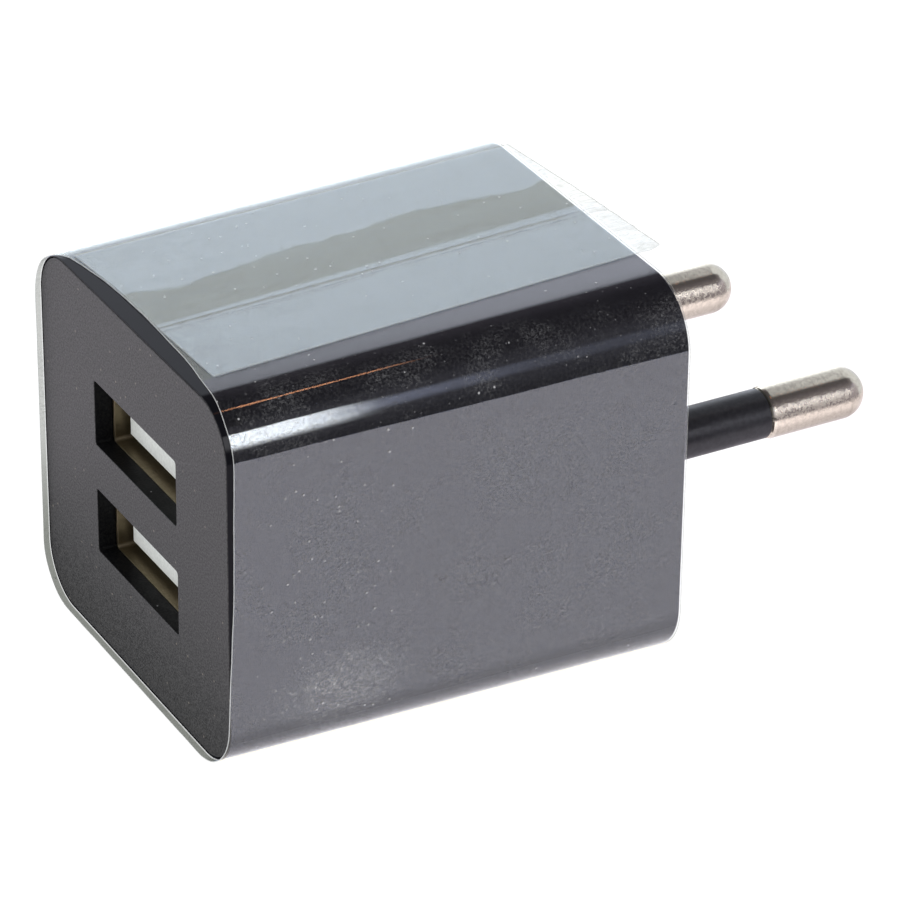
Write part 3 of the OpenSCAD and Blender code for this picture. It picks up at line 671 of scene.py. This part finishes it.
def section_point(u, radius):
    """Point and outward normal at share u of the way round the housing's section."""
    sides = ((1, 1), (-1, 1), (-1, -1), (1, -1))
    quarter = int(u * 4) % 4
    t = u * 4 - int(u * 4)
    sx, sz = sides[quarter]
    corner_share = 0.4
    if t < corner_share:
        angle = math.pi / 2 * (quarter + t / corner_share)
        across, up = math.cos(angle), math.sin(angle)
        place = Vector((sx * CORE_X + radius * across, 0, sz * CORE_Z + radius * up))
        return place, Vector((across, 0, up))
    s = (t - corner_share) / (1 - corner_share)
    angle = math.pi / 2 * (quarter + 1)
    normal = Vector((math.cos(angle), 0, math.sin(angle)))
    nx, nz = sides[(quarter + 1) % 4]
    start = Vector((sx * CORE_X, 0, sz * CORE_Z)) + normal * radius
    end = Vector((nx * CORE_X, 0, nz * CORE_Z)) + normal * radius
    return start.lerp(end, s), normal


def film_front(u, x, z):
    """Place along Y of the film's front edge, at share u of the way round and a point of the section."""
    wander = 0.03 * noise.noise(Vector((x, 0, z)) / (2.5 * MM))
    return -BODY_LEN + (follow(FILM_SETBACK, u) + wander) * MM


def film_lift(x, y, z):
    """How far the film stands off the housing, in slow waves along its length."""
    return FILM_GAP * (0.6 + 0.4 * noise.noise(Vector((x / (5 * MM), y / (22 * MM), z / (5 * MM)))))


def film_pick(face):
    """Rim, outer or inner face of the film."""
    middle = face.calc_center_median()
    if abs(face.normal.y) > STEEP:
        return RIM
    core = Vector((min(max(middle.x, -CORE_X), CORE_X), 0, min(max(middle.z, -CORE_Z), CORE_Z)))
    outward = Vector((middle.x, 0, middle.z)) - core
    return OUTER if face.normal.dot(outward) > 0 else INNER


def build_film_wrap():
    """First layer of the film: a thin closed sleeve that follows the housing, a little askew."""
    count = 4 * (CORNER_STEPS + SIDE_STEPS)
    outer, inner = [], []
    shares = [0, RIM_WIDTH / BODY_LEN, *(k / LENGTH_STEPS for k in range(1, LENGTH_STEPS + 1))]
    for share in shares:
        ring_out, ring_in = [], []
        for j in range(count):
            place, normal = section_point(j / count, CORNER_R)
            front = film_front(j / count, place.x, place.z)
            y = front * (1 - share)
            place = section_point(j / count, edge_r(y))[0]
            lift = film_lift(place.x, y, place.z)
            ring_in.append(place + normal * lift + Vector((0, y, 0)))
            ring_out.append(place + normal * (lift + FILM_T) + Vector((0, y, 0)))
        outer.append(ring_out)
        inner.append(ring_in)
    made = piece("film_wrap", *skin(outer + inner[::-1], closed=True), [FILM_OUTER, FILM_INNER, FILM_RIM],
                 "clear_film", pick=lambda face: RIM if face.index < count else film_pick(face))
    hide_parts("protective_film")


# Second layer on the top: left edge, and right edge at the front and at the rear
OVERLAP_LEFT = -CORE_X
OVERLAP_RIGHT = tuple(x * MM for x in LAYER_EDGE)
# In millimetres: reach of the rear edge at places along X
TAB_REACH = ((-11.0, 0.3), (0.2, 1.6), (7.8, 2.15), (8.4, 0.9))
# In millimetres: length over which the tab bends down, how far it drops and how deep its crumples are
TAB_BEND = 2.2
TAB_DROP = 0.16
TAB_CRUMPLE = 0.1


def build_film_overlap():
    """Second layer of the film, on the top, which runs out into a crumpled tab at the rear."""
    across_steps, along_steps = 60, 90
    upper, lower = [], []
    for k in range(along_steps + 1):
        row_up, row_low = [], []
        for j in range(across_steps + 1):
            s = j / across_steps
            x_front = OVERLAP_LEFT * (1 - s) + OVERLAP_RIGHT[0] * s
            x_rear = OVERLAP_LEFT * (1 - s) + OVERLAP_RIGHT[1] * s
            front = -BODY_LEN + follow(OVERLAP_SETBACK, x_front / MM) * MM
            rear = follow(TAB_REACH, x_rear / MM) * MM
            y = front + (rear - front) * k / along_steps
            x = x_front + (x_rear - x_front) * k / along_steps
            top = CORE_Z + edge_r(min(y, 0)) + 2 * FILM_GAP + FILM_T
            hang = ramp(y / (TAB_BEND * MM))
            fold = noise.noise(Vector((x / (0.7 * MM), y / (2.5 * MM), 3.0)))
            z = top + 0.5 * film_lift(x, y, 9.0 * MM) - hang * (TAB_DROP + TAB_CRUMPLE * fold) * MM
            row_up.append(Vector((x, y, z + FILM_T)))
            row_low.append(Vector((x, y, z)))
        upper.append(row_up)
        lower.append(row_low)
    rings = [up + low[::-1] for up, low in zip(upper, lower)]
    vertices, faces = skin(rings)
    count = len(rings[0])
    last = (len(rings) - 1) * count
    for j in range(across_steps):
        opposite = count - 1 - j
        faces.append((j, j + 1, opposite - 1, opposite))
        faces.append((last + opposite, last + opposite - 1, last + j + 1, last + j))

    def pick(face):
        if abs(face.normal.z) < STEEP:
            return RIM
        return OUTER if face.normal.z > 0 else INNER

    piece("film_overlap", vertices, faces, [FILM_OUTER, FILM_INNER, FILM_RIM], "clear_film", pick=pick)


# ---------- pins ----------

PIN_CORE_R = 1.5 * MM
NOSE_STEPS = 20


def build_pin(side_name):
    """Pin turned from one bar: collar and core inside, bare metal with a chamfered step and a round nose."""
    low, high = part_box(side_name + "_pin")
    sleeve_low, sleeve_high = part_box(side_name + "_pin_sleeve")
    x = (sleeve_low.x + sleeve_high.x) / 2
    tip_r = 2.0 * MM
    collar_r, collar_t, spigot_r = 2.5 * MM, 1.4 * MM, 1.0 * MM
    inner = -2.8 * MM
    step = 0.26 * MM
    profile = [(0, low.y), (spigot_r, low.y), (spigot_r, inner), (collar_r, inner),
               (collar_r, inner + collar_t), (PIN_CORE_R, inner + collar_t), (PIN_CORE_R, sleeve_high.y)]
    profile += [(tip_r - step, sleeve_high.y), (tip_r - step * 0.3, sleeve_high.y + step * 0.5),
                (tip_r, sleeve_high.y + step * 1.4)]
    nose = high.y - tip_r
    profile += [(tip_r * math.cos(a), nose + tip_r * math.sin(a))
                for a in (math.pi / 2 * k / NOSE_STEPS for k in range(NOSE_STEPS + 1))]
    made = piece(side_name + "_mains_pin", *turned(profile, x, closed=False),
                 [SLOT_MATERIALS["nickel"]], "nickel")
    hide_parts(side_name + "_pin")


def build_sleeve(side_name):
    low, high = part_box(side_name + "_pin_sleeve")
    x = (low.x + high.x) / 2
    radius = (high.x - low.x) / 2
    profile = filleted([(PIN_CORE_R, low.y, 0), (radius, low.y, 0), (radius, high.y, 0.1 * MM),
                        (PIN_CORE_R, high.y, 0)])
    made = piece(side_name + "_sleeve", *turned(profile, x), [SLOT_MATERIALS["sleeve_black"]], "sleeve_black")
    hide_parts(side_name + "_pin_sleeve")


# ---------- carried-over CAD nodes ----------


def finish_cad_nodes():
    """Gives every CAD node its material and small rounded edges."""
    for part in frame["record"]["subparts"]:
        node = frame["nodes"][part["node"]]
        if node.hide_render:
            continue
        material = SLOT_MATERIALS[part["material_slot"]]
        if node.material_slots:
            for held in node.material_slots:
                held.link = "OBJECT"
                held.material = material
        else:
            node.data.materials.append(material)
        weld = node.modifiers.new("weld", "WELD")
        weld.merge_threshold = 1e-6
        bevel = node.modifiers.new("round_edges", "BEVEL")
        bevel.width = 0.05 * MM
        bevel.segments = 2
        bevel.limit_method = "ANGLE"
        bevel.angle_limit = math.radians(40)
        bevel.harden_normals = True


# ---------- studio ----------

CAMERA_AZIMUTH = math.radians(60.923)
CAMERA_ELEVATION = math.radians(29.788)
CAMERA_ROLL = math.radians(0.643)
CAMERA_DISTANCE = 356.4 * MM
CAMERA_TARGET = Vector((0, -10.46 * MM, -2.28 * MM))
CAMERA_LENS = 194.6
CAMERA_SENSOR = 36
FLOOR_HALF = 2.0


def build_camera():
    """Camera at the photograph's angle."""
    flat = math.cos(CAMERA_ELEVATION)
    east, north = math.sin(CAMERA_AZIMUTH), -math.cos(CAMERA_AZIMUTH)
    back = Vector((east * flat, north * flat, math.sin(CAMERA_ELEVATION)))
    right = Vector((-north, east, 0))
    up = back.cross(right)
    turn = Matrix.Rotation(CAMERA_ROLL, 3, back)
    right, up = turn @ right, turn @ up
    data = bpy.data.cameras.new("camera")
    data.sensor_width = CAMERA_SENSOR
    data.lens = CAMERA_LENS
    data.clip_end = 20
    data.clip_start = 0.01
    camera = bpy.data.objects.new("camera", data)
    bpy.context.scene.collection.objects.link(camera)
    camera.matrix_world = Matrix.Translation(CAMERA_TARGET + back * CAMERA_DISTANCE) @ \
        Matrix((right, up, back)).transposed().to_4x4()
    bpy.context.scene.camera = camera


def flat_sheet(name, x_low, y_low, x_high, y_high):
    """A flat sheet at the height of the film's lowest line."""
    z = cad_low.z
    mesh = bpy.data.meshes.new(name)
    corners = [(x_low, y_low, z), (x_high, y_low, z), (x_high, y_high, z), (x_low, y_high, z)]
    mesh.from_pydata(corners, [], [(0, 1, 2, 3)])
    made = bpy.data.objects.new(name, mesh)
    bpy.context.scene.collection.objects.link(made)
    return made


def build_floor():
    floor = flat_sheet("floor", -FLOOR_HALF, -FLOOR_HALF, FLOOR_HALF, FLOOR_HALF)
    material, tree = blank("floor_pale")
    speckle = grain(tree, millimetres(tree), 0.6)
    matt = add(tree, "ShaderNodeBsdfDiffuse", {
        "Color": mixed_colours(tree, speckle, (0.96, 0.96, 0.96), (0.98, 0.98, 0.98))})
    glow = add(tree, "ShaderNodeEmission", {"Color": (1, 1, 1, 1), "Strength": 1.15})
    shade(tree, add(tree, "ShaderNodeMixShader", {0: 0.85, 1: matt.outputs[0], 2: glow.outputs[0]}))
    floor.data.materials.append(material)
    floor.visible_glossy = False


# Radiance of what the reflections see, and the bearing of the studio's dark side from +X towards +Y
SKY = (1.41, 1.49, 1.655)
GROUND = (1.55, 1.44, 1.59)
LAMP = (4.5, 2.0, 1.0)
WINDOW = (9.0, 9.0, 9.5)
DARK_BEARING = math.radians(26)
DARK_EDGE = (0.6, 0.66)
# Tints of the ceiling and of the streak on the dark side, as the green and blue that go with a red of 1
CEILING_TINT = (0.92, 1.1)
STREAK_TINT = (1.04, 1.4)
# Heights z of reflected directions: the horizon, and the soft edge between the bright band and the ceiling
HORIZON = (-0.285, -0.305)
CEILING_EDGE = (0.66, 0.56)
STREAK_LOW, STREAK_HIGH = (0.2, 0.38), (0.58, 0.46)
WINDOW_LOW, WINDOW_HIGH = (0.05, 0.32), (0.6, 0.55)
LAMP_LOW = (0.8, 0.85)
# Places x of reflected directions: the lamp's middle, its soft half width, and the window's side
LAMP_X = 0.03
LAMP_EDGE = (0.028, 0.008)
WINDOW_SIDE = (0.4, 0.6)
# Sideways places y of reflected directions: those the pins see, and those the front stretch of the edge sees
PINS_ONLY = (0.452, 0.475)
WINDOW_REACH = (0.376, 0.352)
LAMP_REACH = (0.39, 0.372)
FRONT_LIMIT = (0.27, 0.3)


def build_world():
    """Plain pale background. Reflections see a studio with a dark ceiling, a dark side and a window."""
    world = bpy.data.worlds.new("studio")
    bpy.context.scene.world = world
    world.use_nodes = True
    tree = world.node_tree
    tree.nodes.clear()
    direction = add(tree, "ShaderNodeTexCoord").outputs["Generated"]
    x, y, z = add(tree, "ShaderNodeSeparateXYZ", {0: direction}).outputs
    level = calc(tree, "SQRT", calc(tree, "SUBTRACT", 1.0001, calc(tree, "MULTIPLY", z, z)))
    dark_x, dark_y = math.cos(DARK_BEARING), math.sin(DARK_BEARING)
    toward = calc(tree, "ADD", calc(tree, "MULTIPLY", x, dark_x), calc(tree, "MULTIPLY", y, dark_y))
    sector = between(tree, calc(tree, "DIVIDE", toward, level), *DARK_EDGE)
    below = between(tree, z, *HORIZON)
    band = calc(tree, "MULTIPLY", between(tree, z, *CEILING_EDGE), calc(tree, "SUBTRACT", 1.0, sector))
    # Far along +Y, which only the pins reflect, the ceiling is bright on the left and the dark side is paler
    beyond = between(tree, y, *PINS_ONLY)
    band = calc(tree, "MAXIMUM", band, calc(tree, "MULTIPLY", beyond, between(tree, x, 0.1, -0.06)))
    # The ceiling and the dark side, with a faint cool streak low on the side
    ceiling = calc(tree, "MULTIPLY", between(tree, z, 0.9, 0.6, 0.06, 0.185),
                   between(tree, z, -0.2, 0.25, 0.55, 1.0))
    streak = calc(tree, "MULTIPLY", between(tree, z, *STREAK_LOW), between(tree, z, *STREAK_HIGH))
    streak = calc(tree, "MULTIPLY", streak, calc(tree, "ADD", straight(tree, y, 0.36, 0.45, 0.3, 0.16),
                                                 between(tree, y, 0.41, 0.37, 0.0, 0.55)))
    paler = calc(tree, "MULTIPLY", beyond, between(tree, z, 0.5, 0.35, 0.0, 0.25))
    ceiling = calc(tree, "ADD", ceiling, paler)
    green, blue = (calc(tree, "MULTIPLY_ADD", streak, streak_tint, calc(tree, "MULTIPLY", ceiling, tint))
                   for streak_tint, tint in zip(STREAK_TINT, CEILING_TINT))
    dim = add(tree, "ShaderNodeCombineXYZ", {0: calc(tree, "ADD", ceiling, streak), 1: green, 2: blue})
    # A thin warm lamp over the ceiling
    front_only = between(tree, y, *FRONT_LIMIT)
    lamp = between(tree, calc(tree, "ABSOLUTE", calc(tree, "SUBTRACT", x, LAMP_X)), *LAMP_EDGE)
    lamp = calc(tree, "MULTIPLY", lamp, between(tree, z, *LAMP_LOW))
    lamp = calc(tree, "MULTIPLY", lamp, calc(tree, "MULTIPLY", between(tree, y, *LAMP_REACH), front_only))
    # A window that shows only in the front stretch of the rounded edge
    pane = calc(tree, "MULTIPLY", between(tree, z, *WINDOW_LOW), between(tree, z, *WINDOW_HIGH))
    pane = calc(tree, "MULTIPLY", pane, calc(tree, "MULTIPLY", between(tree, y, *WINDOW_REACH), front_only))
    pane = calc(tree, "MULTIPLY", pane, between(tree, x, *WINDOW_SIDE))
    # The bright band over the horizon is stronger on the left and towards +Y
    tilt = calc(tree, "ADD", straight(tree, x, -0.82, -0.7, 1.29, 0.65),
                straight(tree, y, 0.34, 0.46, -0.08, 0.08))
    tilt = calc(tree, "MULTIPLY", tilt, straight(tree, beyond, 0, 1, 1.0, 0.78))
    sky = add(tree, "ShaderNodeVectorMath", {0: SKY, "Scale": tilt}, operation="SCALE")
    radiance = mixed_colours(tree, band, dim.outputs[0], sky.outputs[0])
    foot = calc(tree, "MULTIPLY", between(tree, z, -0.53, -0.9, 1.0, 0.64),
                straight(tree, beyond, 0, 1, 1.0, 0.65))
    ground = add(tree, "ShaderNodeVectorMath", {0: GROUND, "Scale": foot}, operation="SCALE")
    radiance = mixed_colours(tree, below, radiance, ground.outputs[0])
    radiance = mixed_colours(tree, lamp, radiance, LAMP)
    radiance = mixed_colours(tree, pane, radiance, WINDOW)
    studio = add(tree, "ShaderNodeBackground", {"Color": radiance})
    plain = add(tree, "ShaderNodeBackground", {"Color": (1, 1, 1, 1), "Strength": 1.0})
    seen = add(tree, "ShaderNodeBackground", {"Color": (1, 1, 1, 1), "Strength": 1.2})
    paths = add(tree, "ShaderNodeLightPath")
    mixed = add(tree, "ShaderNodeMixShader", {0: paths.outputs["Is Glossy Ray"], 1: plain.outputs[0],
                2: studio.outputs[0]})
    mixed = add(tree, "ShaderNodeMixShader", {0: paths.outputs["Is Camera Ray"], 1: mixed.outputs[0],
                2: seen.outputs[0]})
    add(tree, "ShaderNodeOutputWorld", {"Surface": mixed.outputs[0]})
    bpy.context.scene.view_settings.view_transform = "Standard"


def build_card():
    """Dark card on the floor, seen only in reflections: painted shade, which darkens what the foot of the
    front panel reflects.
    """
    depth, left, right, gap = 8 * MM, 32 * MM, 14 * MM, 0.7 * MM
    card = flat_sheet("shade_card", -left, -BODY_LEN - depth, right, -BODY_LEN - gap)
    material, tree = blank("card_painted_shade")
    weave = grain(tree, millimetres(tree), 2.0)
    shade(tree, add(tree, "ShaderNodeBsdfDiffuse", {
        "Color": mixed_colours(tree, weave, (0.17, 0.17, 0.17), (0.2, 0.2, 0.2))}))
    card.data.materials.append(material)
    card.visible_camera = False
    card.visible_diffuse = False
    card.visible_transmission = False
    card.visible_shadow = False


build_camera()
build_housing()
build_front_panel()
build_film_wrap()
build_film_overlap()
for name in ("left", "right"):
    build_pin(name)
    build_sleeve(name)
finish_cad_nodes()
build_floor()
build_card()
build_world()
